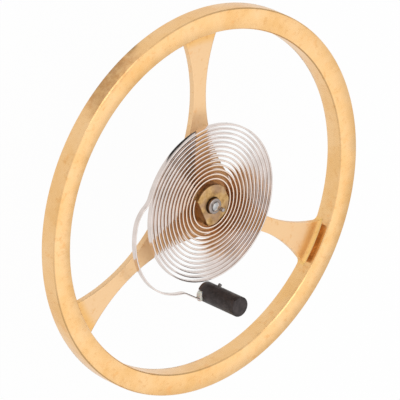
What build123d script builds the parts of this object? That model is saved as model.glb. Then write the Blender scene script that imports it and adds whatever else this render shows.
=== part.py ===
from build123d import *
from math import cos, hypot, radians, sin, sqrt
import os

# A complete balance of a hand-wound watch: wheel, staff, rollers, hairspring, collet and stud.
# Lengths are in millimetres. The origin is the tip of the lower pivot, on the staff's axis,
# +Z points up to the hairspring side and +Y runs along the first arm.

# Balance wheel
wheel_diameter = 10.50
rim_width = 0.575
rim_height = 0.50
rim_chamfer = 0.03
arm_count = 3
arm_thickness = 0.16
arm_waist_width = 0.41
arm_waist_place = 2.90
arm_side_radius = 4.20
arm_foot_radius = 0.16
hub_corner_radius = 0.24
arm_ledge_width = 0.18
arm_ledge_height = 0.25

# Balance staff
pivot_radius = 0.055
pivot_tip_rounding = 0.02
lower_pivot_length = 0.22
lower_cone_length = 0.22
arbor_radius = 0.21
arbor_length = 0.56
flange_radius = 0.55
flange_thickness = 0.30
flange_chamfer = 0.03
wheel_seat_radius = 0.35
rivet_radius = 0.42
rivet_height = 0.05
collet_seat_stand_out = 0.11
cone_root_radius = 0.14
shoulder_rounding = 0.03
upper_cone_length = 0.14
upper_pivot_length = 0.17

# Hairspring collet
collet_radius = 0.56
collet_height = 0.51
collet_chamfer = 0.02
deep_flat_distance = 0.37
deep_flat_angle = -154.4
light_flat_distance = 0.53
light_flat_angles = (-56.4, 26.6)

# Hairspring: a flat strip on edge, wound anticlockwise outwards as seen from above
strip_thickness = 0.042
strip_height = 0.14
strip_drop = 0.0625
coil_turns = 13
coil_spacing = 0.1215
coil_clearance = 0.021
coil_start_angle = 154.6

# Hairspring, from the last coil to the stud: radius and turn of each bend, left turns positive
run_on_turn = 5.4
outward_bend_radius = 0.49
outward_bend_turn = -34.8
return_bend_radius = 0.78
return_bend_turn = 42.7
first_sweep_radius = 1.97
first_sweep_turn = 47.8
second_sweep_radius = 1.74
second_sweep_turn = 49.8
kink_radius = 0.30
kink_turn = -27.6
kink_run_length = 0.610
entry_bend_radius = 0.085
entry_bend_turn = 27.8
strip_tail_length = 0.34

# Hairspring stud
stud_radius = 0.27
stud_length = 1.37
stud_chamfer = 0.03
stud_below_strip = 0.0375
stud_slot_offset = 0.16
stud_slot_gap = 0.02
stud_slot_above_strip = 0.02
stud_notch_depth = 0.10
stud_notch_width = 0.30
stud_nib_radius = 0.05
stud_nib_proud = 0.07
stud_nib_height = 0.355
stud_nib_angle = 52.0

# Cement in the stud's notch
cement_proud = 0.05
cement_rounding = 0.04

# Rollers under the wheel
roller_radius = 0.92
roller_thickness = 0.18
roller_hub_radius = 0.40
roller_hub_height = 0.14
roller_chamfer = 0.03
safety_radius = 0.45
safety_thickness = 0.20
crescent_radius = 0.18
crescent_depth = 0.11

# Impulse jewel and the shellac that holds it
jewel_angle = 90.0
jewel_place = 0.68
jewel_radius = 0.13
jewel_flat_distance = 0.05
jewel_length = 0.55
jewel_above_roller = 0.05
shellac_radius = 0.20
shellac_height = 0.09

# One overrun for every cut
overrun = 0.10

# Places worked out from the sizes
wheel_radius = wheel_diameter / 2
rim_inner_radius = wheel_radius - rim_width
arbor_bottom = lower_pivot_length + lower_cone_length
flange_bottom = arbor_bottom + arbor_length
flange_top = flange_bottom + flange_thickness
arm_top = flange_top + arm_thickness
rivet_top = arm_top + rivet_height
collet_top = rivet_top + collet_height
collet_seat_top = collet_top + collet_seat_stand_out
upper_shoulder = collet_seat_top + upper_cone_length
upper_tip = upper_shoulder + upper_pivot_length
strip_top = collet_top - strip_drop
strip_bottom = strip_top - strip_height
stud_bottom = strip_bottom - stud_below_strip
roller_top = flange_bottom - roller_hub_height
roller_bottom = roller_top - roller_thickness
arm_step = 360 / arm_count

os.makedirs("parts", exist_ok=True)


def polar(radius, angle):
    """The plan point at this radius and this angle in degrees."""
    return Vector(radius * cos(radians(angle)), radius * sin(radians(angle)))


def ring(outer_radius, inner_radius, bottom, height):
    """A flat ring about the staff's axis."""
    plan = Circle(outer_radius) - Circle(inner_radius)
    return Pos(0, 0, bottom) * extrude(plan, height)


def save(solid, name):
    """Write one sub-part under its node's name."""
    solid.label = name
    export_step(solid, f"parts/{name}.step")


def arms_plan():
    """All arms in plan: wedges of the wheel whose two sides are hollowed by a large circle each."""
    reach = rim_inner_radius + rim_width / 2
    half_wedge = arm_step / 2
    corner = reach / cos(radians(half_wedge / 2))
    wedge = make_face(Polyline(
        (0, 0),
        polar(reach / cos(radians(half_wedge)), -half_wedge),
        polar(corner, -half_wedge / 2),
        polar(reach, 0),
        polar(corner, half_wedge / 2),
        polar(reach / cos(radians(half_wedge)), half_wedge),
        close=True,
    ))
    side = arm_waist_width / 2 + arm_side_radius
    arm = wedge & Circle(reach)
    arm -= Pos(arm_waist_place, side) * Circle(arm_side_radius)
    arm -= Pos(arm_waist_place, -side) * Circle(arm_side_radius)
    plan = Sketch() + [Rot(0, 0, 90 + n * arm_step) * arm for n in range(arm_count)]
    return plan


def windows_plan():
    """The openings between the arms, with a rounded corner at the hub and at each arm's foot."""
    windows = Circle(rim_inner_radius) - arms_plan()
    rounded = Sketch()
    for window in windows.faces():
        corners = window.vertices().sort_by(lambda v: hypot(v.X, v.Y))
        window = fillet(corners[1:], arm_foot_radius)
        hub_corner = window.vertices().sort_by(lambda v: hypot(v.X, v.Y))[0]
        rounded += fillet(hub_corner, hub_corner_radius)
    return rounded


def balance_wheel():
    """Rim and arms turned and punched from one piece. The arms lie in the rim's lower face, and a
    slope rises from each arm's foot to the rim."""
    windows = windows_plan()
    rim_profile = make_face(Polyline(
        (rim_inner_radius, 0),
        (wheel_radius - rim_chamfer, 0),
        (wheel_radius, rim_chamfer),
        (wheel_radius, rim_height - rim_chamfer),
        (wheel_radius - rim_chamfer, rim_height),
        (rim_inner_radius + rim_chamfer, rim_height),
        (rim_inner_radius, rim_height - rim_chamfer),
        close=True,
    ))
    rim = revolve(Plane.XZ * rim_profile, Axis.Z)
    web = extrude(Circle(rim_inner_radius) - windows, arm_thickness)
    ledge_inner_radius = rim_inner_radius - arm_ledge_width
    ledge_profile = make_face(Polyline(
        (ledge_inner_radius, 0),
        (rim_inner_radius, 0),
        (rim_inner_radius, arm_ledge_height),
        (ledge_inner_radius, arm_thickness),
        close=True,
    ))
    ledges = revolve(Plane.XZ * ledge_profile, Axis.Z) - extrude(windows, arm_ledge_height + overrun)
    wheel = rim + web + ledges
    wheel -= Cylinder(wheel_seat_radius, 2 * (arm_thickness + overrun))
    return Pos(0, 0, flange_top) * wheel


def staff_profile():
    """Half section of the staff, from the lower tip up to the upper tip."""
    with BuildSketch(Plane.XZ) as section:
        with BuildLine():
            Polyline((0, upper_tip), (0, 0), (pivot_radius - pivot_tip_rounding, 0))
            TangentArc(
                (pivot_radius, pivot_tip_rounding),
                (pivot_radius - pivot_tip_rounding, 0),
                tangent=(0, -1),
            )
            Line((pivot_radius, pivot_tip_rounding), (pivot_radius, lower_pivot_length))
            TangentArc(
                (pivot_radius, lower_pivot_length),
                (cone_root_radius, arbor_bottom),
                tangent=(0, 1),
            )
            Polyline(
                (cone_root_radius, arbor_bottom),
                (arbor_radius, arbor_bottom),
                (arbor_radius, flange_bottom),
                (flange_radius - flange_chamfer, flange_bottom),
                (flange_radius, flange_bottom + flange_chamfer),
                (flange_radius, flange_top),
                (wheel_seat_radius, flange_top),
                (wheel_seat_radius, arm_top),
                (rivet_radius, arm_top),
                (arbor_radius, rivet_top),
                (arbor_radius, collet_seat_top - shoulder_rounding),
            )
            TangentArc(
                (arbor_radius, collet_seat_top - shoulder_rounding),
                (arbor_radius - shoulder_rounding, collet_seat_top),
                tangent=(0, 1),
            )
            Line(
                (arbor_radius - shoulder_rounding, collet_seat_top),
                (cone_root_radius, collet_seat_top),
            )
            TangentArc(
                (pivot_radius, upper_shoulder),
                (cone_root_radius, collet_seat_top),
                tangent=(0, -1),
            )
            Line((pivot_radius, upper_shoulder), (pivot_radius, upper_tip - pivot_tip_rounding))
            TangentArc(
                (pivot_radius, upper_tip - pivot_tip_rounding),
                (pivot_radius - pivot_tip_rounding, upper_tip),
                tangent=(0, 1),
            )
            Line((pivot_radius - pivot_tip_rounding, upper_tip), (0, upper_tip))
        make_face()
    return section.sketch


def balance_staff():
    """The steel arbor that carries everything that swings."""
    return revolve(staff_profile(), Axis.Z)


def hairspring_collet():
    """The bushing pressed on the staff, round with three flats, that holds the spring's inner end."""
    beyond = Rectangle(2 * collet_radius, 2 * collet_radius)
    plan = Circle(collet_radius)
    plan -= Rot(0, 0, deep_flat_angle) * Pos(deep_flat_distance + collet_radius, 0) * beyond
    for angle in light_flat_angles:
        plan -= Rot(0, 0, angle) * Pos(light_flat_distance + collet_radius, 0) * beyond
    collet = extrude(plan, collet_height)
    collet = chamfer(collet.faces().sort_by(Axis.Z)[-1].edges(), collet_chamfer)
    collet -= Cylinder(arbor_radius, 2 * (collet_height + overrun))
    return Pos(0, 0, rivet_top) * collet


def coil_arcs():
    """The coils as half turns about two centres in turn: (centre, radius, start angle, turn)."""
    first_radius = collet_radius + coil_clearance + strip_thickness / 2 + coil_spacing / 4
    arcs = []
    for half in range(2 * coil_turns):
        side = -1 if half % 2 == 0 else 1
        centre = polar(side * coil_spacing / 4, coil_start_angle)
        arcs.append((centre, first_radius + half * coil_spacing / 2, coil_start_angle + half * 180, 180))
    return arcs


def terminal_arcs(last_radius):
    """The bends from the last coil to the stud, each tangent to the one before it."""
    centre = polar(-coil_spacing / 4, coil_start_angle)
    arcs = [(centre, last_radius, coil_start_angle, run_on_turn)]
    point = centre + polar(last_radius, coil_start_angle + run_on_turn)
    heading = coil_start_angle + run_on_turn + 90
    bends = (
        (outward_bend_radius, outward_bend_turn, 0),
        (return_bend_radius, return_bend_turn, 0),
        (first_sweep_radius, first_sweep_turn, 0),
        (second_sweep_radius, second_sweep_turn, 0),
        (kink_radius, kink_turn, kink_run_length),
        (entry_bend_radius, entry_bend_turn, 0),
    )
    for radius, turn, run_length in bends:
        side = 1 if turn > 0 else -1
        centre = point + polar(side * radius, heading + 90)
        start = heading - side * 90
        arcs.append((centre, radius, start, turn))
        heading += turn
        point = centre + polar(radius, start + turn) + polar(run_length, heading)
    return arcs, point, heading


def strip_side(arcs, offset):
    """One long side of the strip: its edges in order, this far to the right of the centre line."""
    edges = []
    for centre, radius, start, turn in arcs:
        reach = radius + offset if turn > 0 else radius - offset
        ends = [centre + polar(reach, start + share * turn) for share in (0, 0.5, 1)]
        if edges and (edges[-1] @ 1 - ends[0]).length > strip_thickness / 10:
            edges.append(Line(edges[-1] @ 1, ends[0]))
        edges.append(ThreePointArc(*ends))
    return edges


def strip_plan(arcs, entry, heading):
    """The strip seen from above: both long sides and the two ends."""
    right = strip_side(arcs, strip_thickness / 2)
    left = strip_side(arcs, -strip_thickness / 2)
    right_end = entry + polar(strip_tail_length, heading) + polar(strip_thickness / 2, heading - 90)
    left_end = entry + polar(strip_tail_length, heading) + polar(strip_thickness / 2, heading + 90)
    caps = [
        Line(left[0] @ 0, right[0] @ 0),
        Line(right[-1] @ 1, right_end),
        Line(right_end, left_end),
        Line(left_end, left[-1] @ 1),
    ]
    return make_face(right + left + caps)


def stud_centre(entry, heading):
    """The stud's axis: the strip meets its wall at the entry, off the axis on the outer side."""
    inward = sqrt(stud_radius**2 - stud_slot_offset**2)
    return entry + polar(inward, heading) + polar(stud_slot_offset, heading + 90)


def stud_place(entry, heading):
    """The stud's frame: on its axis at its lower end, x along the strip's end."""
    centre = stud_centre(entry, heading)
    return Pos(centre.X, centre.Y, stud_bottom) * Rot(0, 0, heading)


def slot_height():
    """How far the stud's slot and notch reach up from its lower end."""
    return stud_below_strip + strip_height + stud_slot_above_strip


def notch_block(length, extra):
    """The notch's block in the stud's frame, reaching this far out of the wall at the entry."""
    far = stud_radius - stud_notch_depth
    across = stud_notch_width / 2 + extra
    middle = stud_notch_width / 2 - stud_slot_offset - strip_thickness
    height = slot_height() + extra
    return Pos(-far - length / 2, middle, height / 2 - extra) * Box(length, 2 * across, height)


def hairspring_stud(place):
    """The blackened post that the regulator's arm holds, slotted for the strip at its lower end."""
    stud = extrude(Circle(stud_radius), stud_length)
    stud = chamfer(stud.edges().filter_by(GeomType.CIRCLE), stud_chamfer)
    slot_width = strip_thickness + 2 * stud_slot_gap
    slot_length = 2 * (stud_radius + overrun)
    slot_depth = slot_height() + overrun
    slot = Box(slot_length, slot_width, slot_depth)
    stud -= Pos(0, -stud_slot_offset, slot_depth / 2 - overrun) * slot
    notch_length = stud_notch_depth + overrun
    stud -= notch_block(notch_length, 0) + Pos(0, 0, -overrun) * notch_block(notch_length, 0)
    nib_length = stud_radius + stud_nib_proud
    nib = Pos(0, 0, stud_nib_height) * Rot(0, 90, 0) * extrude(Circle(stud_nib_radius), nib_length)
    stud += Rot(0, 0, stud_nib_angle) * nib
    return place * stud


def stud_cement(place, stud, strip):
    """The cement that fills the notch round the strip and stands a little out of it."""
    lump = notch_block(stud_notch_depth + cement_proud, 0)
    lump = fillet(lump.faces().sort_by(Axis.X)[0].edges(), cement_rounding)
    return place * lump - stud - strip


def roller_table():
    """The large roller: a disc under the wheel with a hub, bored for the impulse jewel."""
    disc = extrude(Circle(roller_radius), roller_thickness)
    disc = chamfer(disc.edges().filter_by(GeomType.CIRCLE), roller_chamfer)
    table = Pos(0, 0, roller_bottom) * disc
    table += ring(roller_hub_radius, arbor_radius, roller_top, roller_hub_height)
    table -= Pos(0, 0, roller_bottom) * Cylinder(arbor_radius, 2 * (roller_thickness + overrun))
    table -= Pos(0, 0, roller_bottom - overrun) * extrude(
        jewel_plan(), roller_thickness + 2 * overrun
    )
    return table


def safety_roller():
    """The small roller under the table, with the hollow that lets the guard pin pass."""
    roller = ring(safety_radius, arbor_radius, roller_bottom - safety_thickness, safety_thickness)
    hollow_place = polar(safety_radius + crescent_radius - crescent_depth, jewel_angle)
    hollow = Pos(hollow_place.X, hollow_place.Y, roller_bottom) * Cylinder(
        crescent_radius, 2 * (safety_thickness + overrun)
    )
    return roller - hollow


def jewel_plan():
    """The jewel's section: a round with a flat on the side away from the staff."""
    cut = Pos(jewel_flat_distance + jewel_radius, 0) * Rectangle(2 * jewel_radius, 2 * jewel_radius)
    section = Circle(jewel_radius) - cut
    place = polar(jewel_place, jewel_angle)
    return Pos(place.X, place.Y) * Rot(0, 0, jewel_angle) * section


def impulse_jewel():
    """The ruby pin that the lever's fork strikes."""
    bottom = roller_top + jewel_above_roller - jewel_length
    return Pos(0, 0, bottom) * extrude(jewel_plan(), jewel_length)


def jewel_shellac(jewel):
    """The bead of shellac round the jewel's upper end, on the table's top."""
    ball_radius = (shellac_radius**2 + shellac_height**2) / (2 * shellac_height)
    place = polar(jewel_place, jewel_angle)
    ball = Pos(place.X, place.Y, roller_top + shellac_height - ball_radius) * Sphere(ball_radius)
    above = Pos(place.X, place.Y, roller_top + ball_radius) * Box(
        2 * ball_radius, 2 * ball_radius, 2 * ball_radius
    )
    return (ball & above) - jewel


coils = coil_arcs()
last_coil_radius = coils[-1][1] + coil_spacing / 2
ends, strip_entry, strip_heading = terminal_arcs(last_coil_radius)
strip_arcs = coils + ends
hairspring = Pos(0, 0, strip_bottom) * extrude(
    strip_plan(strip_arcs, strip_entry, strip_heading), strip_height
)
stud_frame = stud_place(strip_entry, strip_heading)
stud = hairspring_stud(stud_frame)
jewel = impulse_jewel()

save(balance_wheel(), "balance_wheel")
save(balance_staff(), "balance_staff")
save(hairspring_collet(), "hairspring_collet")
save(hairspring, "hairspring")
save(stud, "hairspring_stud")
save(stud_cement(stud_frame, stud, hairspring), "stud_cement")
save(roller_table(), "roller_table")
save(safety_roller(), "safety_roller")
save(jewel, "impulse_jewel")
save(jewel_shellac(jewel), "jewel_shellac")


def least_gap_of_coils(arcs):
    """The least distance between one turn and the next, face to face, measured on points."""
    steps = 24
    points = []
    travelled = 0
    for centre, radius, start, turn in arcs:
        for step in range(steps):
            point = centre + polar(radius, start + turn * step / steps)
            points.append((point.X, point.Y, travelled + radius * radians(abs(turn)) * step / steps))
        travelled += radius * radians(abs(turn))
    least = wheel_radius
    for index, (x, y, place) in enumerate(points):
        for other_x, other_y, other_place in points[index + 1:]:
            if other_place - place > collet_radius:
                least = min(least, hypot(other_x - x, other_y - y))
    return least - strip_thickness, travelled


coil_gap, strip_length = least_gap_of_coils(strip_arcs)
stud_axis = stud_centre(strip_entry, strip_heading)
print(f"least gap of the hairspring to itself {coil_gap:.4f}")
print(f"hairspring length {strip_length + kink_run_length + strip_tail_length:.2f}")
print(f"hairspring volume {hairspring.volume:.4f}")
print(f"stud axis {stud_axis.X:.4f} {stud_axis.Y:.4f}, lower end {stud_bottom:.4f}")
print(f"upper pivot from {upper_shoulder:.3f} to {upper_tip:.3f}")
print(f"outermost coil radius {last_coil_radius - coil_spacing / 4:.3f}")
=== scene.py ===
from math import cos, pi, radians, sin, sqrt

import bmesh
import bpy
import numpy as np
from mathutils import Matrix, Vector


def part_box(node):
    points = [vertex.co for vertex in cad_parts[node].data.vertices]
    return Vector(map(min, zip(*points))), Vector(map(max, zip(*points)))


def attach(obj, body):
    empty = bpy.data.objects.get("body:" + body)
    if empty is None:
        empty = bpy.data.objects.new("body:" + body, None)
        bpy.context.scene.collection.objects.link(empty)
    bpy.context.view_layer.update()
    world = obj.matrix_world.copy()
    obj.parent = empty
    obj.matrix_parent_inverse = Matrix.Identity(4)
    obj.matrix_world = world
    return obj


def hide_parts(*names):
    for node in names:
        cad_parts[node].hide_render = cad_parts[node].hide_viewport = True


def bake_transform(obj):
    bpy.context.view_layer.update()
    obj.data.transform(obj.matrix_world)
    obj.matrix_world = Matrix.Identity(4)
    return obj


# Balance complete of a hand-wound watch, dressed for its portrait. Shapes are worked out in
# millimetres and become metres when a mesh is stored.
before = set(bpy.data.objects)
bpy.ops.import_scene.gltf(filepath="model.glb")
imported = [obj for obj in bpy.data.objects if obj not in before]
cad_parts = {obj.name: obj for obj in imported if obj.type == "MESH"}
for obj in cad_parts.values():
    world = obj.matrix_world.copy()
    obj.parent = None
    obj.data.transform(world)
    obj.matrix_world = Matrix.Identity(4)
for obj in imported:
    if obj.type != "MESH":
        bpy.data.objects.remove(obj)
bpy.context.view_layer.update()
MM = 0.001

# The camera looks down on the hairspring side through a long lens, turned about its own axis so
# that the staff leans to the right of the picture.
view_right = Vector((0.74414, 0.01403, 0.66788))
view_up = Vector((0.25321, 0.91926, -0.30144))
view_back = view_right.cross(view_up)
frame_width = 10.320 * MM
camera_distance = 262.5 * MM
sensor_width = 36
wheel_low, wheel_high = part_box("balance_wheel")
aim = (wheel_low + wheel_high) / 2 - view_right * 0.01806 * MM - view_up * 0.00477 * MM
camera_data = bpy.data.cameras.new("portrait_camera")
camera_data.sensor_width = sensor_width
camera_data.lens = sensor_width * camera_distance / frame_width
camera_data.clip_start = camera_distance / 100
camera_data.clip_end = camera_distance * 100


def placed(name, data):
    """A new object of the scene with this data."""
    thing = bpy.data.objects.new(name, data)
    bpy.context.scene.collection.objects.link(thing)
    return thing


camera = placed("portrait_camera", camera_data)
turn = Matrix((view_right, view_up, view_back)).transposed().to_4x4()
camera.matrix_world = Matrix.Translation(aim + view_back * camera_distance) @ turn
bpy.context.scene.camera = camera


# Balance wheel: rim and three arms turned and punched from one blank of gold-coloured alloy, the
# arms in the rim's lower face with a short cove up to the rim at each foot. The faces are lapped
# to a soft shine and the edges broken; the walls over the coves carry a painted brown shade.
wheel_radius = wheel_high.x / MM
rim_bottom = wheel_low.z / MM
rim_top = wheel_high.z / MM
rim_width = 0.575
rim_chamfer = 0.03
arm_thickness = 0.16
slope_height = 0.25
slope_width = 0.18
cove_power = 3
broken_edge = 0.030
waist_width = 0.41
waist_place = 2.90
side_radius = 4.20
foot_radius = 0.16
hub_corner_radius = 0.24
wheel_bore = 0.35
first_arm_angle = pi / 2
arm_count = 3
worn_angle = radians(127)
shaded_share = 0.76
wall_tolerance = 0.01
arm_top = rim_bottom + arm_thickness
slope_top = rim_bottom + slope_height


def circle(angle):
    """The point (cos, sin) of each angle, on a circle of radius one."""
    return np.stack([np.cos(angle), np.sin(angle)], axis=-1)


def arc(centre, radius, start, end, count):
    """Points of a circle from one angle to another: centre plus radius times (cos, sin)."""
    return centre + radius * circle(np.linspace(start, end, count))


def angle_of(vector):
    """The angle from +x to a vector (x, y), or to each of several given as (all x, all y)."""
    return np.arctan2(vector[1], vector[0])


def arm_edge(inner, round_steps=14, side_steps=60):
    """One long edge of an arm along +x, from the hub's corner to the rim: a small round in the
    corner between two arms, the hollow of the side, and the small round of the foot. Each
    round touches the next where the line through their centres meets them."""
    side_centre = np.array([waist_place, waist_width / 2 + side_radius])
    half = pi / arm_count
    bisector = circle(half)
    along = bisector @ side_centre
    reach = side_radius - hub_corner_radius
    corner = bisector * (along - sqrt(along**2 - side_centre @ side_centre + reach**2))
    far = np.linalg.norm(side_centre)
    foot_reach = inner - foot_radius
    opposite = foot_reach**2 + far**2 - (side_radius - foot_radius) ** 2
    foot_angle = angle_of(side_centre) - np.arccos(opposite / (2 * foot_reach * far))
    foot = foot_reach * circle(foot_angle)
    first = angle_of(corner - side_centre)
    last = angle_of(foot - side_centre)
    rounds = [
        arc(corner, hub_corner_radius, half - pi, first, round_steps),
        arc(side_centre, side_radius, first, last, side_steps)[1:],
        arc(foot, foot_radius, last, foot_angle, round_steps)[1:],
    ]
    return np.concatenate(rounds)


def grid_faces(rows, columns, close_rows=False, close_columns=False):
    """Quads of a grid of points numbered row by row. The last row may join the first, and so may
    the last column."""
    numbers = np.arange(rows * columns).reshape(rows, columns)
    if close_rows:
        numbers = np.vstack([numbers, numbers[:1]])
    if close_columns:
        numbers = np.hstack([numbers, numbers[:, :1]])
    corners = [numbers[:-1, :-1], numbers[:-1, 1:], numbers[1:, 1:], numbers[1:, :-1]]
    return np.stack([c.ravel() for c in corners], axis=1)


def welded(sheets, fineness=1e-5):
    """One mesh of several grids: points that lie within the fineness are made one point. A quad
    that this narrows becomes a triangle, and one that it closes up is left out."""
    points = np.concatenate([sheet[0] for sheet in sheets])
    starts = np.cumsum([0] + [len(sheet[0]) for sheet in sheets[:-1]])
    faces = np.concatenate([sheet[1] + start for sheet, start in zip(sheets, starts)])
    keys = np.round(points / fineness).astype(np.int64)
    _, first, place = np.unique(keys, axis=0, return_index=True, return_inverse=True)
    faces = place.reshape(-1)[faces]
    ordered = np.sort(faces, axis=1)
    open_faces = (np.diff(ordered, axis=1) > 0).sum(axis=1) >= 2
    return points[first], faces[open_faces]


def mesh_of(name, sheets):
    """A Blender mesh in millimetres, welded from its sheets, whose faces look outwards."""
    points, faces = welded(sheets)
    mesh = bpy.data.meshes.new(name)
    mesh.from_pydata(points.tolist(), [], [list(dict.fromkeys(face)) for face in faces.tolist()])
    work = bmesh.new()
    work.from_mesh(mesh)
    bmesh.ops.recalc_face_normals(work, faces=work.faces)
    work.to_mesh(mesh)
    work.free()
    return mesh


def finished(name, mesh, material, edge_round=0.0, cutters=(), smooth_below=40, edge_angle=28):
    """The piece from its mesh in millimetres, in its material. Cutters are taken away, edges that
    turn by more than the edge angle are rounded, and the mesh is stored in metres and shaded
    smooth over edges that turn by less than smooth_below."""
    piece = placed(name, mesh)
    for cutter in cutters:
        cut = piece.modifiers.new("cut", "BOOLEAN")
        cut.object = placed(name + "_cutter", cutter)
        cut.solver = "EXACT"
    if edge_round:
        soften = piece.modifiers.new("soften", "BEVEL")
        soften.width = edge_round
        soften.segments = 2
        soften.limit_method = "ANGLE"
        soften.angle_limit = radians(edge_angle)
    graph = bpy.context.evaluated_depsgraph_get()
    done = bpy.data.meshes.new_from_object(piece.evaluated_get(graph))
    tools = [m.object for m in piece.modifiers if m.type == "BOOLEAN"]
    piece.modifiers.clear()
    for tool in tools:
        bpy.data.objects.remove(tool)
    piece.data = done
    done.materials.append(material)
    done.transform(Matrix.Scale(MM, 4))
    done.polygons.foreach_set("use_smooth", np.ones(len(done.polygons), bool))
    done.set_sharp_from_angle(angle=radians(smooth_below))
    return piece


def band_points(radius, turn, height, closed=True):
    """A grid on (radius, angle, height), each broadcast over the others, and its quads."""
    shape = np.broadcast_shapes(radius.shape, turn.shape, height.shape)
    radius, turn, height = (np.broadcast_to(a, shape) for a in (radius, turn, height))
    points = np.stack([radius * np.cos(turn), radius * np.sin(turn), height], axis=-1)
    return points.reshape(-1, 3), grid_faces(*shape, close_rows=closed)


def wheel_sheets(hub_steps=5, arm_steps=25, gap_steps=121):
    """The wheel's skin. Each arm's sector is one closed band of stations (radius, height, half
    angle) carried across the arm; between arms the rim is a band of its own; and the arms' sides
    are upright walls under their edges. Over a foot the arm's height rises as its share of the
    way up the slope, raised to the cove's power."""
    inner = wheel_radius - rim_width
    slope_radius = inner - slope_width
    edge = arm_edge(inner)
    radii = np.hypot(edge[:, 0], edge[:, 1])
    angles = angle_of(edge.T)
    step = int(np.searchsorted(radii, slope_radius))
    angles = np.insert(angles, step, np.interp(slope_radius, radii, angles))
    radii = np.insert(radii, step, slope_radius)
    hub = np.linspace(wheel_bore, radii[0], hub_steps)[:-1]
    radii = np.concatenate([hub, radii])
    angles = np.concatenate([np.full(len(hub), pi / arm_count), angles])
    step += len(hub)
    way_up = np.clip((radii - slope_radius) / slope_width, 0, 1)
    upper = arm_top + (slope_top - arm_top) * way_up**cove_power
    foot = angles[-1]
    rim = [
        (wheel_radius - rim_chamfer, rim_bottom),
        (wheel_radius, rim_bottom + rim_chamfer),
        (wheel_radius, rim_top - rim_chamfer),
        (wheel_radius - rim_chamfer, rim_top),
        (inner + rim_chamfer, rim_top),
        (inner, rim_top - rim_chamfer),
    ]
    band = [(r, rim_bottom, a) for r, a in zip(radii, angles)]
    band += [(r, z, foot) for r, z in rim]
    band += [(r, z, a) for r, z, a in zip(radii[::-1], upper[::-1], angles[::-1])]
    band = np.array(band)
    across = np.linspace(-1, 1, arm_steps)
    gap_band = np.array([(inner, rim_bottom)] + rim + [(inner, slope_top), (inner, arm_top)])
    corner = len(hub)
    sheets = []
    for arm in range(arm_count):
        middle = first_arm_angle + arm * 2 * pi / arm_count
        turn = middle + band[:, 2:3] * across
        sheets.append(band_points(band[:, 0:1], turn, band[:, 1:2]))
        gap = np.linspace(middle + foot, middle + 2 * pi / arm_count - foot, gap_steps)
        sheets.append(band_points(gap_band[:, 0:1], gap[None, :], gap_band[:, 1:2]))
        for side in (-1, 1):
            turn = (middle + side * angles[corner:])[None, :]
            walls = np.array([[rim_bottom], [arm_top]])
            sheets.append(band_points(radii[None, corner:], turn, walls, closed=False))
            walls = np.stack([np.full(len(radii) - step, arm_top), upper[step:]])
            turn = turn[:, step - corner:]
            sheets.append(band_points(radii[None, step:], turn, walls, closed=False))
    return sheets


def as_colour(value):
    """A colour or one grey, made opaque."""
    return (*value, 1.0) if isinstance(value, tuple) else (value, value, value, 1.0)


def feed(tree, socket, value):
    """Links a node's output to a socket, or sets a number or a colour on it."""
    if isinstance(value, bpy.types.NodeSocket):
        tree.links.new(value, socket)
    else:
        socket.default_value = as_colour(value) if socket.type == "RGBA" else value


def new_material(name, **settings):
    """A material whose Principled shader has these values on its own sockets."""
    material = bpy.data.materials.new(name)
    material.use_nodes = True
    tree = material.node_tree
    shader = tree.nodes["Principled BSDF"]
    for socket, value in settings.items():
        feed(tree, shader.inputs[socket.replace("_", " ")], value)
    return material, tree, shader


def noise(tree, vector, scale, detail=3.0, roughness=0.55):
    """A noise texture read at this vector, in metres, with so many features to the metre."""
    node = tree.nodes.new("ShaderNodeTexNoise")
    values = {"Vector": vector, "Scale": scale, "Detail": detail, "Roughness": roughness}
    for socket, value in values.items():
        feed(tree, node.inputs[socket], value)
    return node.outputs["Fac"]


def ramp(tree, value, stops):
    """Colours or greys along a value: stops are (place, colour) or (place, grey)."""
    node = tree.nodes.new("ShaderNodeValToRGB")
    while len(node.color_ramp.elements) < len(stops):
        node.color_ramp.elements.new(0.5)
    for element, (place, colour) in zip(node.color_ramp.elements, stops):
        element.position = place
        element.color = as_colour(colour)
    feed(tree, node.inputs["Fac"], value)
    return node.outputs["Color"]


def mixed(tree, share, first, second, blend="MIX"):
    """Two colours mixed by a share. On this node the inputs 0, 6 and 7 are the share and the two
    colours, and the output 2 is the mixed colour."""
    node = tree.nodes.new("ShaderNodeMix")
    node.data_type = "RGBA"
    node.blend_type = blend
    for place, value in zip((0, 6, 7), (share, first, second)):
        feed(tree, node.inputs[place], value)
    return node.outputs[2]


def maths(tree, operation, first, second=0.0, third=0.0):
    """One sum, product or comparison of values."""
    node = tree.nodes.new("ShaderNodeMath")
    node.operation = operation
    for socket, value in zip(node.inputs, (first, second, third)):
        feed(tree, socket, value)
    return node.outputs[0]


def measured(tree, value, length):
    """A value in metres as a share of a length in millimetres."""
    return maths(tree, "MULTIPLY", value, 1 / (length * MM))


def painted(tree, shader, colour, roughness=None):
    """Links the shader's colour and, where it varies, its roughness."""
    tree.links.new(colour, shader.inputs["Base Color"])
    if roughness:
        tree.links.new(roughness, shader.inputs["Roughness"])


def bump(tree, shader, height, strength, distance):
    """Raises the shader's surface by a height, which is a share of the distance in metres."""
    node = tree.nodes.new("ShaderNodeBump")
    node.inputs["Strength"].default_value = strength
    node.inputs["Distance"].default_value = distance
    tree.links.new(height, node.inputs["Height"])
    tree.links.new(node.outputs["Normal"], shader.inputs["Normal"])


def object_point(tree):
    """The point on the piece, in metres."""
    return tree.nodes.new("ShaderNodeTexCoord").outputs["Object"]


def height_of(tree, point):
    """The point's height, which is its z."""
    split = tree.nodes.new("ShaderNodeSeparateXYZ")
    tree.links.new(point, split.inputs[0])
    return split.outputs["Z"]


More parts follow.
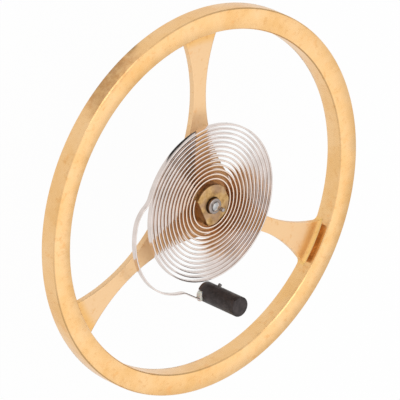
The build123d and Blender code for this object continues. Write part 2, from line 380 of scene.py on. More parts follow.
def distance_from_axis(tree, point):
    """How far the point is from the staff's axis: the length of its x and y alone."""
    flat = tree.nodes.new("ShaderNodeVectorMath")
    flat.operation = "MULTIPLY"
    flat.inputs[1].default_value = (1.0, 1.0, 0.0)
    tree.links.new(point, flat.inputs[0])
    length = tree.nodes.new("ShaderNodeVectorMath")
    length.operation = "LENGTH"
    tree.links.new(flat.outputs[0], length.inputs[0])
    return length.outputs["Value"]


def along_direction(tree, point, direction):
    """How far the point lies along a direction of length one: their dot product."""
    node = tree.nodes.new("ShaderNodeVectorMath")
    node.operation = "DOT_PRODUCT"
    node.inputs[1].default_value = direction
    tree.links.new(point, node.inputs[0])
    return node.outputs["Value"]


def turning_lines(tree, point, pitch):
    """Fine rings about the staff's axis: noise read along the distance from the axis."""
    ring = tree.nodes.new("ShaderNodeCombineXYZ")
    tree.links.new(distance_from_axis(tree, point), ring.inputs["X"])
    tree.links.new(height_of(tree, point), ring.inputs["Z"])
    return noise(tree, ring.outputs[0], 1 / pitch, 2.0)


def cove_zone(tree, reach):
    """One over the coves at the arms' feet, by the distance from the axis."""
    return ramp(tree, reach, [(0.81, 0.0), (0.845, 1.0), (0.884, 1.0), (0.888, 0.0)])


def gilt_tints(tree, point, reach, specks):
    """The gold alloy's colour before the painted shade on the cove walls. Clouds of near tints lie
    under a pinker tone of the arms, a painted shade under the hairspring, a painted golden
    highlight over the coves with a painted bright line at their upper edge, small orange blots, a
    mottled brown stretch where the rim's outer wall is worn, and stains."""
    clouds = noise(tree, point, 1100.0, 4.0, 0.6)
    colour = ramp(tree, clouds, [(0.30, (0.90, 0.53, 0.21)), (0.50, (0.95, 0.595, 0.275)),
                                 (0.72, (0.97, 0.64, 0.33))])
    arms = ramp(tree, reach, [(0.86, 1.0), (0.89, 0.0)])
    colour = mixed(tree, arms, colour, (0.955, 0.645, 0.36))
    # Painted shade under the hairspring, where the coils cover the gold.
    spring_shade = ramp(tree, reach, [(0.11, 0.75), (0.17, 0.50), (0.36, 0.28), (0.41, 0.0)])
    colour = mixed(tree, spring_shade, colour, (0.50, 0.24, 0.08))
    # Painted golden highlight over the coves at the arms' feet.
    cove = maths(tree, "MULTIPLY", cove_zone(tree, reach), 0.80)
    colour = mixed(tree, cove, colour, (1.0, 0.60, 0.21))
    # Painted bright highlight along the coves' upper edge.
    crest_highlight = ramp(tree, reach, [(0.880, 0.0), (0.885, 1.0), (0.8885, 1.0), (0.889, 0.0)])
    colour = mixed(tree, crest_highlight, colour, (1.0, 0.62, 0.21))
    blots = ramp(tree, noise(tree, point, 2600.0, 3.0, 0.6), [(0.60, 0.0), (0.72, 0.55)])
    colour = mixed(tree, blots, colour, (0.91, 0.46, 0.16))
    towards_worn = along_direction(tree, point, (cos(worn_angle), sin(worn_angle), 0))
    worn = ramp(tree, measured(tree, towards_worn, wheel_radius), [(0.972, 0.0), (0.994, 0.52)])
    flecks = ramp(tree, specks, [(0.38, 0.25), (0.62, 1.0)])
    colour = mixed(tree, maths(tree, "MULTIPLY", worn, flecks), colour, (0.50, 0.22, 0.09))
    stain = ramp(tree, specks, [(0.56, 0.0), (0.72, 0.60)])
    return mixed(tree, stain, colour, (0.80, 0.42, 0.14))


def gilt_material():
    """Lapped gold alloy with a fine grain and turning lines, softer on the arms than on the rim,
    and with a painted brown shade on the upper walls where the mesh's cove_wall_shade value is one."""
    material, tree, shader = new_material("gilt_alloy", Metallic=1.0)
    point = object_point(tree)
    reach = measured(tree, distance_from_axis(tree, point), wheel_radius)
    specks = noise(tree, point, 6500.0, 4.0, 0.7)
    grain = noise(tree, point, 60000.0, 2.0)
    colour = gilt_tints(tree, point, reach, specks)
    colour = mixed(tree, 0.03, colour, ramp(tree, grain, [(0.3, 0.45), (0.7, 1.0)]), "MULTIPLY")
    # Painted brown shade on the rim's inner wall over each cove, fading up the wall.
    cove_wall_shade = tree.nodes.new("ShaderNodeAttribute")
    cove_wall_shade.attribute_name = "cove_wall_shade"
    cove_wall_shade_colour = ramp(tree, specks, [(0.35, (0.34, 0.15, 0.05)), (0.66, (0.66, 0.33, 0.12))])
    up_wall = maths(tree, "SUBTRACT", height_of(tree, point), slope_top * MM)
    up_wall = ramp(tree, measured(tree, up_wall, rim_top - slope_top), [(0.55, 1.0), (0.78, 0.2)])
    colour = mixed(tree, maths(tree, "MULTIPLY", cove_wall_shade.outputs["Fac"], up_wall), colour, cove_wall_shade_colour)
    rough = ramp(tree, specks, [(0.35, 0.24), (0.70, 0.29)])
    rough = mixed(tree, ramp(tree, reach, [(0.86, 1.0), (0.888, 0.0)]), rough, 0.40)
    rough = mixed(tree, cove_zone(tree, reach), rough, 0.50)
    painted(tree, shader, colour, rough)
    rings = turning_lines(tree, point, 0.00004)
    relief = maths(tree, "ADD", grain, maths(tree, "MULTIPLY", rings, 0.8))
    bump(tree, shader, relief, 0.04, 0.000004)
    return material


def mark_cove_wall_shade(piece):
    """A value of painted shade on each face of the wheel: one on the rim's inner wall over an arm's
    cove, where the distance from the axis is the inner radius and the nearest arm is within the
    shaded share of its foot's angle, and nought elsewhere."""
    faces = piece.data.polygons
    middles = np.zeros(len(faces) * 3)
    faces.foreach_get("center", middles)
    middles = middles.reshape(-1, 3) / MM
    inner = wheel_radius - rim_width
    reach = np.hypot(middles[:, 0], middles[:, 1])
    turn = angle_of(middles.T) - first_arm_angle
    turn = np.abs(np.mod(turn + pi / arm_count, 2 * pi / arm_count) - pi / arm_count)
    foot = angle_of(arm_edge(inner)[-1])
    above = middles[:, 2] > slope_top
    on_wall = np.abs(reach - inner) < wall_tolerance
    # The faces that get the painted shade over the coves.
    shaded_faces = on_wall & above & (turn < foot * shaded_share)
    cove_wall_shade = piece.data.attributes.new("cove_wall_shade", "FLOAT", "FACE")
    cove_wall_shade.data.foreach_set("value", shaded_faces.astype(np.float32))


wheel = finished("wheel_rim_and_arms", mesh_of("wheel", wheel_sheets()), gilt_material(),
                 edge_round=broken_edge)
mark_cove_wall_shade(wheel)
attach(wheel, "balance")
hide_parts("balance_wheel")


# Balance staff: the hardened and polished steel axle, turned in one piece. Its seat is riveted
# over the wheel, and slightly hollow cones lead to the two pivots with their burnished tips.
staff_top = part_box("balance_staff")[1].z / MM
pivot_radius = 0.055
pivot_tip_rounding = 0.02
lower_pivot_length = 0.22
lower_cone_length = 0.22
arbor_radius = 0.21
arbor_length = 0.56
flange_radius = 0.55
flange_thickness = 0.30
flange_chamfer = 0.03
rivet_radius = 0.42
rivet_height = 0.05
collet_height = 0.51
collet_seat_stand_out = 0.11
cone_root_radius = 0.14
shoulder_rounding = 0.03
upper_cone_length = 0.14
cone_power = 1.35
arbor_bottom = lower_pivot_length + lower_cone_length
flange_bottom = arbor_bottom + arbor_length
flange_top = flange_bottom + flange_thickness
rivet_top = flange_top + arm_thickness + rivet_height
shoulder_foot = rivet_top + collet_height


def turned(profile, segments=96):
    """A profile of (radius, height) carried round the axis: x = r cos, y = r sin. Where the
    profile starts and ends on the axis, its end points close the poles."""
    profile = np.array(profile)
    turn = np.linspace(0, 2 * pi, segments + 1)
    return band_points(profile[:, 0:1], turn[None, :], profile[:, 1:2], closed=False)


def hollow_cone(root_radius, root_height, tip_radius, tip_height, count=12):
    """The slightly hollow flank from a pivot to its shoulder: the radius grows from the pivot's
    to the root's as the way to the root raised to the cone's power."""
    way = np.linspace(0, 1, count)
    r = tip_radius + (root_radius - tip_radius) * way**cone_power
    z = tip_height + (root_height - tip_height) * way
    return list(zip(r, z))


def quarter(radius, rounding, height, side):
    """A quarter round between an upright wall of this radius and the flat at this height. Side is
    1 where the wall comes first and -1 where the flat does; the round lies inside the corner."""
    turn = np.linspace(0, pi / 2, 6)
    r = radius - rounding + rounding * np.cos(turn)
    z = height - side * rounding + side * rounding * np.sin(turn)
    points = list(zip(r, z))
    return points if side > 0 else points[::-1]


def staff_profile():
    """The staff's outline from the lower tip to the upper tip."""
    seat_top = shoulder_foot + collet_seat_stand_out
    points = [(0, 0)]
    points += quarter(pivot_radius, pivot_tip_rounding, 0, -1)
    points += hollow_cone(cone_root_radius, arbor_bottom, pivot_radius, lower_pivot_length)
    points += quarter(arbor_radius, flange_chamfer, arbor_bottom, -1)
    points += [(arbor_radius, flange_bottom)]
    points += quarter(flange_radius, flange_chamfer, flange_bottom, -1)
    points += [(flange_radius, flange_top), (wheel_bore, flange_top), (wheel_bore, arm_top)]
    points += quarter(rivet_radius, rivet_height / 2, arm_top, -1)
    points += quarter(rivet_radius, rivet_height / 2, rivet_top, 1)
    points += [(arbor_radius, rivet_top)]
    points += quarter(arbor_radius, shoulder_rounding, seat_top, 1)
    upper_shoulder = seat_top + upper_cone_length
    points += hollow_cone(cone_root_radius, seat_top, pivot_radius, upper_shoulder)[::-1]
    points += quarter(pivot_radius, pivot_tip_rounding, staff_top, 1)
    points += [(0, staff_top)]
    return points


def steel_material(toned_length=0.5):
    """Polished hardened steel with the faintest turning lines. Up the stretch over the collet its
    colour is painted light and shade: a painted dark shade with old oil round the foot, a painted
    pinkish highlight on the shoulder's edge, a painted dark ring of shade at the cone's root, a
    painted bright highlight on the cone and a painted darker shade on the pivot, under thin clouds."""
    material, tree, shader = new_material("polished_steel", Metallic=1.0, Roughness=0.10)
    point = object_point(tree)
    up = maths(tree, "SUBTRACT", height_of(tree, point), shoulder_foot * MM)
    up = measured(tree, up, toned_length)
    # Painted light and shade up the staff, with old oil at the foot; the first stop is the steel's own
    # colour.
    tone = ramp(tree, up, [
        (0.00, (0.56, 0.54, 0.53)),
        (0.02, (0.17, 0.115, 0.085)),
        (0.13, (0.17, 0.115, 0.085)),
        (0.165, (0.64, 0.56, 0.53)),
        (0.205, (0.64, 0.56, 0.53)),
        (0.225, (0.20, 0.165, 0.145)),
        (0.255, (0.22, 0.18, 0.16)),
        (0.29, (0.95, 0.945, 0.94)),
        (0.60, (0.92, 0.90, 0.88)),
        (0.70, (0.42, 0.37, 0.34)),
    ])
    cloud = ramp(tree, noise(tree, point, 9000.0, 2.0), [(0.3, 0.85), (0.7, 1.0)])
    painted(tree, shader, mixed(tree, 1.0, tone, cloud, "MULTIPLY"))
    rings = turning_lines(tree, point, 0.00002)
    bump(tree, shader, rings, 0.12, 0.000002)
    return material


staff = finished("staff_turned", mesh_of("staff", [turned(staff_profile())]), steel_material())
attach(staff, "balance")
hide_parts("balance_staff")


# Hairspring collet: a small brass bushing pressed on the staff. One deep flat and two shallow
# ones break its round side, and the inner end of the hairspring is fixed to it.
collet_low, collet_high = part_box("hairspring_collet")
collet_radius = 0.56
collet_edge = 0.02
least_cosine = 0.05
bore_shade_and_oil_scale = 0.5
collet_flats = ((radians(-154.4), 0.37), (radians(-56.4), 0.53), (radians(26.6), 0.53))


def edge_stations(low, high, edge, count=5):
    """Stations (inset, height) up an upright wall whose two edges are quarter rounds."""
    turn = np.linspace(0, pi / 2, count)
    early, late = edge * (1 - np.sin(turn)), edge * (1 - np.cos(turn))
    return list(zip(-early, low + late)) + list(zip(-late, high - early))


def ring_sheet(outline, angles, outside, inside):
    """A closed ring about the axis. Its outside goes by stations (inset, height), at a radius of
    outline plus inset, where an inset inwards is negative, and its bore by (radius, height)."""
    outside, inside = np.array(outside), np.array(inside)
    radii = np.concatenate([outline + outside[:, :1], 0 * outline + inside[:, :1]])
    heights = np.concatenate([outside[:, 1:], inside[:, 1:]])
    return band_points(radii, angles[None, :], heights)


def flatted(radius, flats, segments):
    """Angles once round, and at each of them the radius of a round cut by flats. A flat at distance
    d that faces angle a lies at d / cos(angle - a), and it meets the round where that is the
    radius. Cosines under the least one would put the flat's line far off the piece."""
    angles = np.linspace(0, 2 * pi, segments, endpoint=False)
    corners = []
    for facing, distance in flats:
        spread = np.arccos(distance / radius)
        corners += [facing - spread, facing + spread]
    angles = np.unique(np.round(np.concatenate([angles, np.mod(corners, 2 * pi)]), 9))
    angles = np.append(angles, angles[0] + 2 * pi)
    outline = np.full(len(angles), radius)
    for facing, distance in flats:
        offset = np.cos(angles - facing)
        line = np.where(offset > least_cosine, distance / np.maximum(offset, least_cosine), radius)
        outline = np.minimum(outline, line)
    return angles, outline


def collet_sheet():
    """The bushing. Its outer edges are rounded, and those of the bore are cut by half as much."""
    low, high = collet_low.z / MM, collet_high.z / MM
    angles, outline = flatted(collet_radius, collet_flats, 360)
    cut = collet_edge / 2
    wider = arbor_radius + cut
    inside = [(wider, low), (arbor_radius, low + cut), (arbor_radius, high - cut), (wider, high)]
    return ring_sheet(outline, angles, edge_stations(low, high, collet_edge)[::-1], inside)


def brass_material():
    """Dull turned brass, mottled brown where it has been handled, with a painted dark shade and old
    oil in the corner round the staff."""
    material, tree, shader = new_material("collet_brass", Metallic=1.0)
    point = object_point(tree)
    mottle = noise(tree, point, 5200.0, 4.0, 0.62)
    grain = noise(tree, point, 30000.0, 2.0)
    colour = ramp(tree, mottle, [(0.32, (0.30, 0.16, 0.055)), (0.50, (0.60, 0.37, 0.15)),
                                 (0.70, (0.78, 0.53, 0.26))])
    patches = ramp(tree, noise(tree, point, 2400.0, 3.0, 0.5), [(0.45, 0.0), (0.62, 0.75)])
    colour = mixed(tree, patches, colour, (0.46, 0.29, 0.185))
    # Painted dark shade, with old oil, in the corner round the staff.
    reach = measured(tree, distance_from_axis(tree, point), bore_shade_and_oil_scale)
    bore = ramp(tree, reach, [(0.45, 1.0), (0.49, 0.0)])
    colour = mixed(tree, bore, colour, (0.07, 0.04, 0.02))
    painted(tree, shader, colour, ramp(tree, mottle, [(0.3, 0.52), (0.7, 0.34)]))
    relief = maths(tree, "ADD", grain, turning_lines(tree, point, 0.00003))
    bump(tree, shader, relief, 0.4, 0.000004)
    return material


collet = finished("collet_bushing", mesh_of("collet", [collet_sheet()]), brass_material(),
                  smooth_below=30)
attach(collet, "balance")
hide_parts("hairspring_collet")


# Hairspring: a flat strip of pale alloy rolled to 0.042 by 0.14 mm and wound on edge, thirteen
# turns outwards and then a free run with a kink to the stud. It is fixed at both ends; its inner
# end is drawn a hair off the collet, because the collet turns.
spring_low, spring_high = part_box("hairspring")
strip_thickness = 0.042
strip_height = (spring_high.z - spring_low.z) / MM
coil_turns = 13
coil_spacing = 0.1215
coil_clearance = 0.021
coil_start = 154.6
run_on_turn = 5.4
strip_rounding_share = 0.22
strip_rounding_steps = 4
streaks_round = 12
# Each bend has its radius, its turn in degrees, left turns positive, and the straight run after it.
terminal_bends = (
    (0.49, -34.8, 0.0),
    (0.78, 42.7, 0.0),
    (1.97, 47.8, 0.0),
    (1.74, 49.8, 0.0),
    (0.30, -27.6, 0.610),
    (0.085, 27.8, 0.34),
)


def strip_line():
    """The strip's centre line: half turns about two centres in turn, each a half spacing wider
    than the last, then bends of a given radius and turn with straight runs. Returned are
    its points, its heading at each, and where the strip enters the stud."""
    first = collet_radius + coil_clearance + strip_thickness / 2 + coil_spacing / 4
    shift = coil_spacing / 4 * circle(radians(coil_start))
    points, headings = [], []
    for half in range(2 * coil_turns + 1):
        centre = -shift if half % 2 == 0 else shift
        start = radians(coil_start + half * 180)
        turn = pi if half < 2 * coil_turns else radians(run_on_turn)
        count = max(3, int(turn / radians(3))) + 1
        radius = first + half * coil_spacing / 2
        angles = np.linspace(start, start + turn, count)[:-1]
        points.append(centre + radius * circle(angles))
        headings.append(angles + pi / 2)
    heading = start + turn + pi / 2
    point = centre + radius * circle(heading - pi / 2)
    for radius, turn, run in terminal_bends:
        side = 1 if turn > 0 else -1
        centre = point + side * radius * circle(heading + pi / 2)
        count = max(7, int(abs(turn) / 2))
        angles = heading - side * pi / 2 + np.linspace(0, radians(turn), count)
        points.append((centre + radius * circle(angles))[:-1])
        headings.append((angles + side * pi / 2)[:-1])
        heading = heading + radians(turn)
        entry = centre + radius * circle(angles[-1])
        steps = np.linspace(0, run, max(2, int(run / 0.05)))[:-1] if run else np.zeros(0)
        points.append(entry + steps[:, None] * circle(heading))
        headings.append(np.full(len(steps), heading))
        point = entry + run * circle(heading)
    points.append(point[None, :])
    headings.append(np.array([heading]))
    return np.concatenate(points), np.concatenate(headings), entry


def strip_sheet(line, headings, middle):
    """The strip: a rounded rectangle carried along the line, standing upright on it. A point of the
    section at (across, up) goes to line + across * right + up. The two ends are closed."""
    rounding = strip_thickness * strip_rounding_share
    core = np.array([strip_thickness / 2 - rounding, strip_height / 2 - rounding])
    corner = arc(core, rounding, 0, pi / 2, strip_rounding_steps)
    section = np.concatenate([
        corner,
        (corner * [-1, 1])[::-1],
        corner * [-1, -1],
        (corner * [1, -1])[::-1],
    ])
    right = circle(headings - pi / 2)
    flat = line[:, None, :] + section[None, :, 0:1] * right[:, None, :]
    up = np.broadcast_to(middle + section[None, :, 1], flat.shape[:2])
    points = np.concatenate([flat, up[:, :, None]], axis=2).reshape(-1, 3)
    rows, columns = len(line), len(section)
    quads = grid_faces(rows, columns, close_columns=True).tolist()
    last_end = range((rows - 1) * columns, rows * columns)
    return points, quads + [list(range(columns)), list(last_end)[::-1]], columns


def spring_material():
    """Pale spring alloy: rolled bright, with long faint streaks along the strip, and a painted warm
    reflection of the gold wheel in the coils that lie near the collet."""
    material, tree, shader = new_material("spring_alloy", Metallic=1.0)
    point = object_point(tree)
    uv = tree.nodes.new("ShaderNodeUVMap")
    uv.uv_map = "along_strip"
    streaks = noise(tree, uv.outputs[0], 14.0, 3.0, 0.6)
    clouds = noise(tree, point, 2500.0, 3.0)
    colour = ramp(tree, clouds, [(0.3, (0.73, 0.645, 0.60)), (0.7, (0.86, 0.765, 0.72))])
    reach = measured(tree, distance_from_axis(tree, point), wheel_radius)
    # Painted warm reflection of the gold wheel in the coils near the collet.
    painted_gold_reflection = ramp(tree, reach, [(0.17, 0.75), (0.24, 0.30), (0.32, 0.0)])
    colour = mixed(tree, painted_gold_reflection, colour, (0.88, 0.68, 0.53))
    colour = mixed(tree, 0.12, colour, ramp(tree, streaks, [(0.3, 0.6), (0.7, 1.0)]), "MULTIPLY")
    painted(tree, shader, colour, ramp(tree, streaks, [(0.3, 0.10), (0.7, 0.20)]))
    bump(tree, shader, streaks, 0.10, 0.000002)
    return material


strip_points, strip_headings, strip_entry = strip_line()
strip_middle = (spring_low.z + spring_high.z) / 2 / MM
skin, skin_faces, around = strip_sheet(strip_points, strip_headings, strip_middle)
spring_mesh = bpy.data.meshes.new("spring")
spring_mesh.from_pydata(skin.tolist(), [], skin_faces)
along = np.concatenate([[0], np.cumsum(np.linalg.norm(np.diff(strip_points, axis=0), axis=1))])
strip_uv = spring_mesh.uv_layers.new(name="along_strip")
loop_points = np.zeros(len(spring_mesh.loops), int)
spring_mesh.loops.foreach_get("vertex_index", loop_points)
uv = np.stack([along[loop_points // around], (loop_points % around) / around * streaks_round], axis=1)
strip_uv.data.foreach_set("uv", uv.ravel())
spring = finished("hairspring_strip", spring_mesh, spring_material(), smooth_below=35)
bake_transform(spring)
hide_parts("hairspring")


# Hairspring stud: a blackened steel post that the balance cock grips. Its lower end has a notch and
# a slot for the strip, and a tiny nib on the side towards the staff keeps it from turning.
stud_low, stud_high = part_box("hairspring_stud")
stud_radius = 0.27
stud_edge = 0.03
slot_offset = 0.16
slot_gap = 0.02
slot_above_strip = 0.02
notch_depth = 0.10
notch_width = 0.30
nib_radius = 0.05
nib_proud = 0.07
nib_rounding_share = 0.4
nib_height = 0.355
nib_angle = radians(52)
cut_edge = 0.006
overrun = 0.1
stud_heading = float(strip_headings[-1])
ahead = circle(stud_heading)
aside = circle(stud_heading + pi / 2)
stud_axis = strip_entry + ahead * sqrt(stud_radius**2 - slot_offset**2) + aside * slot_offset
stud_bottom = stud_low.z / MM
stud_top = stud_high.z / MM
slot_top = spring_high.z / MM + slot_above_strip


def in_stud_frame(points):
    """Points given along the strip's end, across it and up from the stud's foot, put in place."""
    points = np.asarray(points, float)
    flat = stud_axis + points[:, 0:1] * ahead + points[:, 1:2] * aside
    return np.hstack([flat, points[:, 2:3] + stud_bottom])


def block(low, high):
    """A box between two corners in the stud's frame, as a closed mesh."""
    low, high = np.array(low), np.array(high)
    corners = np.array([[x, y, z] for x in (0, 1) for y in (0, 1) for z in (0, 1)])
    points = in_stud_frame(low + corners * (high - low))
    faces = [[0, 1, 3, 2], [4, 6, 7, 5], [0, 4, 5, 1], [2, 3, 7, 6], [0, 2, 6, 4], [1, 5, 7, 3]]
    return mesh_of("block", [(points, np.array(faces))])


def stud_sheet():
    """The post: a round bar with rounded ends, standing in the stud's frame."""
    length = stud_top - stud_bottom
    profile = [(0, 0)] + quarter(stud_radius, stud_edge, 0, -1)
    profile += [(stud_radius, h) for h in np.linspace(stud_edge, length - stud_edge, 12)[1:-1]]
    profile += quarter(stud_radius, stud_edge, length, 1) + [(0, length)]
    post, post_faces = turned(profile, 128)
    return in_stud_frame(post), post_faces


def nib_sheet():
    """The nib: a profile of (radius, distance out) carried round an axis that points at the staff."""
    start = stud_radius - nib_proud
    profile = [(0, start), (nib_radius, start)]
    profile += quarter(nib_radius, nib_radius * nib_rounding_share, stud_radius + nib_proud, 1)
    profile += [(0, stud_radius + nib_proud)]
    points, faces = turned(profile, 40)
    flat = points[:, 2:3] * circle(nib_angle) + points[:, 0:1] * circle(nib_angle + pi / 2)
    return in_stud_frame(np.hstack([flat, nib_height + points[:, 1:2]])), faces


def blackened_material(name, dark, light, brown_foot_height=0.30):
    """Blackened steel: mottled between a dark and a lighter tone, and browner at the foot."""
    material, tree, shader = new_material(name, Metallic=0.55)
    point = object_point(tree)
    mottle = noise(tree, point, 6500.0, 4.0, 0.65)
    grain = noise(tree, point, 26000.0, 2.0)
    foot = maths(tree, "SUBTRACT", height_of(tree, point), stud_bottom * MM)
    foot = measured(tree, foot, brown_foot_height)
    foot = maths(tree, "ADD", foot, maths(tree, "MULTIPLY", mottle, 0.6))
    foot = ramp(tree, foot, [(0.25, 0.7), (0.75, 0.0)])
    colour = ramp(tree, mottle, [(0.35, dark), (0.65, light)])
    colour = mixed(tree, foot, colour, (0.16, 0.075, 0.032))
    painted(tree, shader, colour, ramp(tree, mottle, [(0.3, 0.52), (0.7, 0.38)]))
    bump(tree, shader, maths(tree, "ADD", grain, mottle), 0.35, 0.000005)
    return material


slot_half = strip_thickness / 2 + slot_gap
slot_block = block(
    (-2 * stud_radius, -slot_offset - slot_half, -overrun),
    (2 * stud_radius, -slot_offset + slot_half, slot_top - stud_bottom),
)
notch_block = block(
    (-2 * stud_radius, -slot_offset - strip_thickness, -overrun),
    (notch_depth - stud_radius, notch_width - slot_offset - strip_thickness, slot_top - stud_bottom),
)
steel = blackened_material("blackened_steel", (0.033, 0.026, 0.025), (0.066, 0.051, 0.050))
rubbed = blackened_material("blackened_steel_rubbed", (0.14, 0.128, 0.122), (0.27, 0.25, 0.24))
stud = finished("stud_post", mesh_of("stud", [stud_sheet()]), steel,
                cutters=(slot_block, notch_block), edge_round=cut_edge)
nib = finished("stud_nib", mesh_of("nib", [nib_sheet()]), rubbed)
for piece in (stud, nib):
    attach(piece, "stud_side")
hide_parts("hairspring_stud")


# Stud cement: a drop of pale cement that fills the notch round the strip's end and stands a little
# out of it, with a smooth skin drawn up by the metal.
cement_proud = 0.05
cement_above_foot = 0.004
drop_power = 0.62
drop_ripple_share = 0.05


def drop_sheet(tilt_steps=41, turn_steps=81):
    """The drop: a squared ball, where each direction's cosines are raised to the drop's power,
    with a slow ripple over it."""
    low = np.array([-stud_radius - cement_proud, -slot_offset - strip_thickness, cement_above_foot])
    high = np.array([notch_depth - stud_radius, notch_width - slot_offset - strip_thickness,
                     slot_top - stud_bottom])
    tilt = np.linspace(-pi / 2, pi / 2, tilt_steps)[:, None]
    turn = np.linspace(0, 2 * pi, turn_steps)[None, :]
    direction = np.stack(np.broadcast_arrays(
        np.cos(tilt) * np.cos(turn), np.cos(tilt) * np.sin(turn), np.sin(tilt)), axis=-1)
    squared = np.sign(direction) * np.abs(direction) ** drop_power
    waves = np.sin(5 * direction[..., 1] + 2) * np.cos(4 * direction[..., 2])
    ripple = 1 - drop_ripple_share * (1 + waves)
    points = (low + high) / 2 + squared * ripple[..., None] * (high - low) / 2
    return in_stud_frame(points.reshape(-1, 3)), grid_faces(tilt_steps, turn_steps)


def cement_material():
    """Pale cream cement, a little glossy and not quite even."""
    material, tree, shader = new_material(
        "cement", Roughness=0.38, Coat_Weight=0.15, Subsurface_Weight=0.15, Subsurface_Scale=0.00008
    )
    clouds = noise(tree, object_point(tree), 9000.0, 3.0)
    colour = ramp(tree, clouds, [(0.35, (0.72, 0.66, 0.56)), (0.65, (0.86, 0.83, 0.77))])
    painted(tree, shader, colour)
    bump(tree, shader, clouds, 0.3, 0.000008)
    return material


cement = finished("cement_drop", mesh_of("cement", [drop_sheet()]), cement_material())
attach(cement, "stud_side")
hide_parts("stud_cement")


# Impulse jewel: a half-round pin of ruby that the lever's fork strikes, ground with a polished flat
# on the side away from the staff. It hangs through the roller table.
jewel_low, jewel_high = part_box("impulse_jewel")
jewel_radius = 0.13
jewel_flat = 0.05
jewel_place = 0.68
jewel_angle = pi / 2
jewel_edge = 0.012


def jewel_mesh(low, high, extra=0.0, edge=0.0):
    """The section, a round cut by one flat, carried up between two heights. Its ends are closed and
    their edges rounded, and it is set off by the jewel's place and turned by its angle."""
    angles, reach = flatted(jewel_radius, [(0, jewel_flat)], 72)
    reach = reach + extra
    stations = np.array(edge_stations(low, high, edge, 4))
    radii = np.concatenate([[0 * reach], reach + stations[:, :1], [0 * reach]])
    heights = np.concatenate([[[low]], stations[:, 1:], [[high]]])
    points, faces = band_points(radii, angles[None, :], heights, closed=False)
    out, across = circle(jewel_angle), circle(jewel_angle + pi / 2)
    points[:, :2] = (jewel_place + points[:, 0:1]) * out + points[:, 1:2] * across
    return mesh_of("jewel", [(points, faces)])


def ruby_material():
    """Synthetic ruby: clear deep red with polished faces."""
    material, tree, shader = new_material(
        "ruby", Base_Color=(0.62, 0.012, 0.06), Roughness=0.03, IOR=1.76, Transmission_Weight=0.75
    )
    clouds = noise(tree, object_point(tree), 4000.0, 2.0)
    colour = ramp(tree, clouds, [(0.3, (0.55, 0.008, 0.05)), (0.7, (0.70, 0.02, 0.08))])
    painted(tree, shader, colour)
    return material


jewel_pin = jewel_mesh(jewel_low.z / MM, jewel_high.z / MM, edge=jewel_edge)
jewel = finished("impulse_jewel_pin", jewel_pin, ruby_material())
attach(jewel, "balance")
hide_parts("impulse_jewel")


# Roller table: the large roller, a polished disc of gold-coloured alloy with a hub turned in one
# with it, pressed on the staff under the wheel. A half-round hole near its edge holds the jewel.
table_low, table_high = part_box("roller_table")
table_radius = table_high.x / MM
table_edge = 0.03
table_thickness = 0.18
table_hub_radius = 0.40
jewel_hole_clearance = 0.003


def table_profile():
    """The roller's section as a closed loop, from the bore's foot outwards and back."""
    low, top = table_low.z / MM, table_high.z / MM
    face = low + table_thickness
    points = [(arbor_radius, low)]
    points += quarter(table_radius, table_edge, low, -1)
    points += quarter(table_radius, table_edge, face, 1)
    points += [(table_hub_radius, face), (table_hub_radius, top)]
    return points + [(arbor_radius, top), (arbor_radius, low)]


def roller_material():
    """Polished gold-coloured alloy with fine turning rings on the flats."""
    material, tree, shader = new_material("roller_metal", Metallic=1.0)
    point = object_point(tree)
    clouds = noise(tree, point, 2500.0, 3.0)
    rings = turning_lines(tree, point, 0.00002)
    colour = ramp(tree, clouds, [(0.3, (0.80, 0.52, 0.23)), (0.7, (0.90, 0.62, 0.31))])
    painted(tree, shader, colour, ramp(tree, rings, [(0.3, 0.18), (0.7, 0.30)]))
    bump(tree, shader, rings, 0.3, 0.000003)
    return material


table_foot = table_low.z / MM
jewel_hole = jewel_mesh(
    table_foot - overrun, table_foot + table_thickness + overrun, extra=jewel_hole_clearance
)
table_mesh = mesh_of("table", [turned(table_profile(), 180)])
table = finished("roller_table_disc", table_mesh, roller_material(),
                 cutters=(jewel_hole,), edge_round=cut_edge)
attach(table, "balance")
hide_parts("roller_table")


# Safety roller: the small roller against the table's lower face. Its rounded hollow in line with the
# jewel lets the lever's guard pin cross.
safety_low, safety_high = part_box("safety_roller")
safety_radius = 0.45
crescent_radius = 0.18
crescent_depth = 0.11
safety_edge = 0.018
crescent_half_turn = 1.0


def safety_sheet():
    """The roller: its outline is the nearer of its own round and the hollow's circle, whose near
    side lies at c cos(a) - sqrt(h^2 - c^2 sin(a)^2) for a hollow of radius h centred c away."""
    low, high = safety_low.z / MM, safety_high.z / MM
    away = safety_radius + crescent_radius - crescent_depth
    angles = np.linspace(0, 2 * pi, 721)
    off = np.mod(angles - jewel_angle + pi, 2 * pi) - pi
    under = crescent_radius**2 - (away * np.sin(off)) ** 2
    near = away * np.cos(off) - np.sqrt(np.maximum(under, 0))
    in_hollow = (under > 0) & (np.abs(off) < crescent_half_turn)
    outline = np.where(in_hollow, np.minimum(near, safety_radius), safety_radius)
    inside = [(arbor_radius, high), (arbor_radius, low)]
    return ring_sheet(outline, angles, edge_stations(low, high, safety_edge), inside)


safety = finished("safety_roller_disc", mesh_of("safety", [safety_sheet()]), table.data.materials[0])
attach(safety, "balance")
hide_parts("safety_roller")


# Shellac: a bead melted round the jewel's upper end on the roller table, amber and glossy.
shellac_low, shellac_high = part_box("jewel_shellac")
bead_power = 0.8
bead_wander_share = 0.06


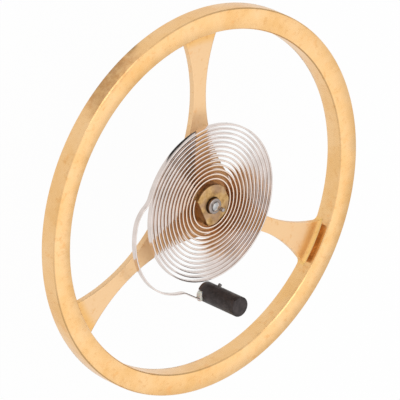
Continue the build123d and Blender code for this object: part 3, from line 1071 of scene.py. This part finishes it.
def bead_sheets(out_steps=25, turn_steps=97):
    """The bead's top and base: the height falls from the middle as one minus the square of the
    distance, raised to the bead's power, and the edge wanders a little."""
    low, high = shellac_low.z / MM, shellac_high.z / MM
    radius = (shellac_high.x - shellac_low.x) / 2 / MM
    out = np.linspace(0, 1, out_steps)[:, None]
    turn = np.linspace(0, 2 * pi, turn_steps)[None, :]
    edge = radius * (1 - bead_wander_share + bead_wander_share * np.sin(3 * turn + 0.7))
    height = low + (high - low) * (1 - out**2) ** bead_power
    sheets = [band_points(out * edge, turn, z, closed=False) for z in (height, np.array([[low]]))]
    return [(points + [0, jewel_place, 0], faces) for points, faces in sheets]


def shellac_material():
    """Amber shellac: glossy and slightly see-through."""
    material, tree, shader = new_material(
        "shellac", Roughness=0.12, Coat_Weight=0.5, Transmission_Weight=0.25, IOR=1.52
    )
    clouds = noise(tree, object_point(tree), 8000.0, 3.0)
    colour = ramp(tree, clouds, [(0.3, (0.26, 0.085, 0.018)), (0.7, (0.44, 0.17, 0.04))])
    painted(tree, shader, colour)
    bump(tree, shader, clouds, 0.2, 0.000006)
    return material


shellac = finished("shellac_bead", mesh_of("shellac", bead_sheets()), shellac_material())
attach(shellac, "balance")
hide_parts("jewel_shellac")


# The studio: a broad pale floor under the balance, which hangs by its stud a little above it, two
# soft lamps from above and an even sky, all in white light.
floor_below = 1.5 * MM
floor_size = 900.0 * MM
bar_across = (0.557, 0.830, 0)
bar_along = (-0.485, 0.875, 0)
bar_scale = 10
mirrored_floor = 0.92
self_lit_share = 0.96


def floor_material():
    """A matt white floor, which the camera sees nearly white with a faint shadow. Reflections see
    it a little darker, with one long dark bar across it that stands for something dark in the
    room. The bar is measured across and along from the wheel's axis."""
    material, tree, shader = new_material("pale_floor", Base_Color=0.9, Roughness=0.9)
    point = object_point(tree)
    across = measured(tree, along_direction(tree, point, bar_across), bar_scale)
    length = measured(tree, along_direction(tree, point, bar_along), bar_scale)
    bar = ramp(tree, across, [(0.205, 0.0), (0.225, 1.0), (0.47, 1.0), (0.50, 0.0)])
    depth = ramp(tree, length, [(0.255, 0.0), (0.265, 0.96), (0.60, 0.90), (0.68, 0.20)])
    shade = maths(tree, "SUBTRACT", mirrored_floor, maths(tree, "MULTIPLY", bar, depth))
    rays = tree.nodes.new("ShaderNodeLightPath")
    mirrored = maths(tree, "MAXIMUM", rays.outputs["Is Glossy Ray"], rays.outputs["Is Transmission Ray"])
    seen = maths(tree, "MAXIMUM", rays.outputs["Is Camera Ray"], mirrored)
    glow = tree.nodes.new("ShaderNodeEmission")
    strength = maths(tree, "MAXIMUM", rays.outputs["Is Camera Ray"], shade)
    tree.links.new(strength, glow.inputs["Strength"])
    mix = tree.nodes.new("ShaderNodeMixShader")
    tree.links.new(maths(tree, "MULTIPLY", seen, self_lit_share), mix.inputs[0])
    tree.links.new(shader.outputs[0], mix.inputs[1])
    tree.links.new(glow.outputs[0], mix.inputs[2])
    tree.links.new(mix.outputs[0], tree.nodes["Material Output"].inputs["Surface"])
    return material


half = floor_size / 2
corners = [(-half, -half), (half, -half), (half, half), (-half, half)]
floor_mesh = bpy.data.meshes.new("floor")
floor_mesh.from_pydata([(x, y, -floor_below) for x, y in corners], [], [(0, 1, 2, 3)])
floor_mesh.materials.append(floor_material())
floor = placed("floor", floor_mesh)


def lamp(name, direction, size, power, distance=120 * MM):
    """A square soft lamp that looks at the wheel from a direction."""
    data = bpy.data.lights.new(name, "AREA")
    data.size = size
    data.energy = power
    light = placed(name, data)
    place = Vector(direction).normalized() * distance
    light.location = aim + place
    light.rotation_mode = "QUATERNION"
    light.rotation_quaternion = place.to_track_quat("Z", "Y")


lamp("key_lamp", direction=(0.50, -0.30, 0.81), size=70 * MM, power=0.0036)
lamp("side_lamp", direction=(-0.25, 0.68, 0.69), size=60 * MM, power=0.011)

world = bpy.data.worlds.new("studio_air")
bpy.context.scene.world = world
world.use_nodes = True
air = world.node_tree
background = air.nodes["Background"]
rays = air.nodes.new("ShaderNodeLightPath")
sky = air.nodes.new("ShaderNodeTexCoord").outputs["Generated"]
# The camera sees white all round. All else sees a sky that pales from the horizon upwards.
upward = maths(air, "MULTIPLY_ADD", along_direction(air, sky, (0, 0, 1)), 0.5, 0.5)
glow = ramp(air, upward, [(0.50, 0.42), (0.62, 0.50), (0.82, 0.90), (1.0, 1.0)])
strength = maths(air, "MAXIMUM", rays.outputs["Is Camera Ray"], glow)
air.links.new(strength, background.inputs["Strength"])
background.inputs["Color"].default_value = as_colour(1.0)
bpy.context.scene.view_settings.view_transform = "Standard"
